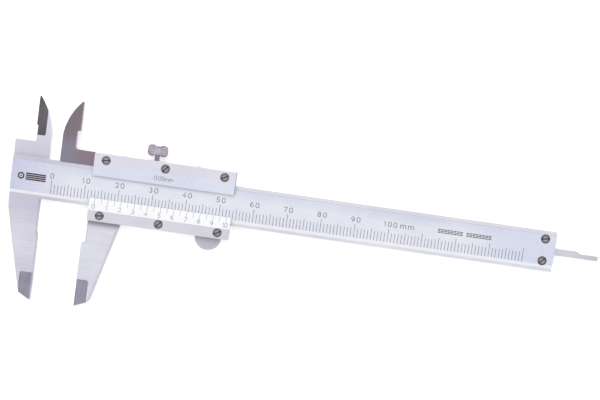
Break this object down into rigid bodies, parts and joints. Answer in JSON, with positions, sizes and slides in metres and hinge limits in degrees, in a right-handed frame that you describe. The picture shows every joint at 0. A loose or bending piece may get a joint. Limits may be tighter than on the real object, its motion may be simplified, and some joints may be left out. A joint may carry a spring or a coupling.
{
  "type": "vernier caliper",
  "caption": "Small vernier caliper: a scale beam with fixed jaws and a slider with vernier, outside and inside jaws, a depth rod and a locking screw.",
  "frame": {"origin": "on the plane the caliper rests on, under the middle of the whole caliper as it lies at rest", "axes": "+X along the beam from the fixed jaws to the tail, +Y towards the inside jaws, +Z out of the face that carries the scales"},
  "size_m": [0.175, 0.0606, 0.0051],
  "materials": {
    "beam_steel": "satin chrome over hardened stainless steel",
    "plate_steel": "satin chrome",
    "jaw_steel": "ground and satin chromed",
    "rod_steel": "ground",
    "screws": "blackened",
    "lock_screw": "nickel plated, worn",
    "gib_bronze": "phosphor bronze"
  },
  "bodies": {
    "beam": {"beam": "beam_steel", "end_stop_plate": "plate_steel", "end_stop_screw_upper": "screws", "end_stop_screw_lower": "screws"},
    "slider": {"slider_back_plate": "plate_steel", "upper_jaw": "jaw_steel", "lower_jaw": "jaw_steel", "front_top_plate": "plate_steel", "vernier_plate": "plate_steel", "top_plate_screw_front": "screws", "top_plate_screw_middle": "screws", "top_plate_screw_rear": "screws", "vernier_plate_screw_front": "screws", "vernier_plate_screw_middle": "screws", "vernier_plate_screw_rear": "screws", "gib_set_screw_front": "screws", "gib_set_screw_rear": "screws", "depth_rod": "rod_steel", "depth_rod_rivet_front": "screws", "depth_rod_rivet_rear": "screws"},
    "gib": {"gib_strip": "gib_bronze"},
    "lock_screw": {"lock_screw": "lock_screw"}
  },
  "joints": [
    {"name": "slider_slide", "type": "slide", "parent": "beam", "child": "slider", "axis": [1, 0, 0], "range_m": [-0.01334, 0.08865]},
    {"name": "gib_press", "type": "slide", "parent": "slider", "child": "gib", "axis": [0, 1, 0], "range_m": [-0.0001, 0.0001]},
    {"name": "lock_turn", "type": "hinge", "parent": "gib", "child": "lock_screw", "pos_m": [-0.04543, 0.01617, 0.00253], "axis": [0, 1, 0], "range_deg": [-90, 90]}
  ],
  "couplings": [
    {"joint": "lock_turn", "follows": "gib_press", "rad_per_m": 15708}
  ]
}
